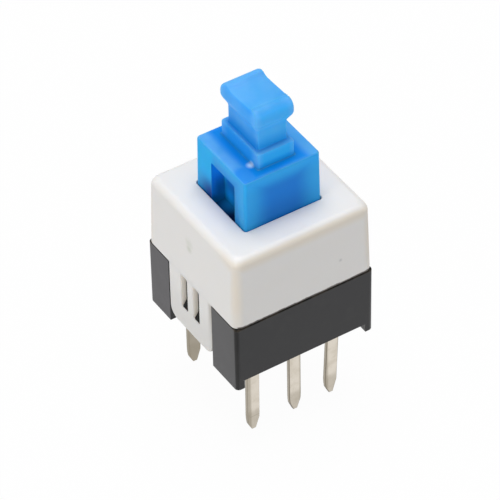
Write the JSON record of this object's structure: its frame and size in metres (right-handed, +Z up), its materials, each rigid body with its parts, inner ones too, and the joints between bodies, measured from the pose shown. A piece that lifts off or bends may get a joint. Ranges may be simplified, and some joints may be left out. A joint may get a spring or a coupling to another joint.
{
  "type": "latching push button switch",
  "caption": "Small square latching push-button switch for circuit boards, with a clipped cover, square plunger with a cap head, and flat solder pins.",
  "frame": {"origin": "middle of the six solder pins, at the face of the circuit board, where the base's feet stand", "axes": "+Z up along the plunger, X along the rows of pins, the cover's snap tabs face -X and +X"},
  "size_m": [0.007, 0.007, 0.0164],
  "materials": {
    "black_pbt": "satin moulded black plastic",
    "white_nylon": "satin moulded off-white plastic",
    "blue_pom": "glossy moulded blue plastic, slightly translucent",
    "spring_steel": "drawn steel wire",
    "latch_steel": "bright drawn steel wire",
    "contact_bronze": "rolled bronze sheet",
    "tinned_brass": "stamped brass sheet, dull tin plated"
  },
  "bodies": {
    "housing": {"base": "black_pbt", "cover": "white_nylon", "terminal_front_left": "tinned_brass", "terminal_front_common": "tinned_brass", "terminal_front_right": "tinned_brass", "terminal_rear_left": "tinned_brass", "terminal_rear_common": "tinned_brass", "terminal_rear_right": "tinned_brass"},
    "button": {"plunger": "blue_pom", "return_spring": "spring_steel", "moving_contact_front": "contact_bronze", "moving_contact_rear": "contact_bronze"},
    "latch": {"latch_wire": "latch_steel"}
  },
  "joints": [
    {"name": "button_press", "type": "slide", "parent": "housing", "child": "button", "axis": [0, 0, -1], "range_m": [0, 0.002], "stiffness_N_per_m": 500, "springref_m": -0.0015, "deforming": ["return_spring"]},
    {"name": "latch_swing", "type": "hinge", "parent": "housing", "child": "latch", "pos_m": [-0.0027, 0, 0.0015], "axis": [-1, 0, 0], "range_deg": [0, 19]}
  ],
  "couplings": [
    {"joint": "latch_swing", "follows": "button_press", "rad_per_m": 162.86}
  ]
}
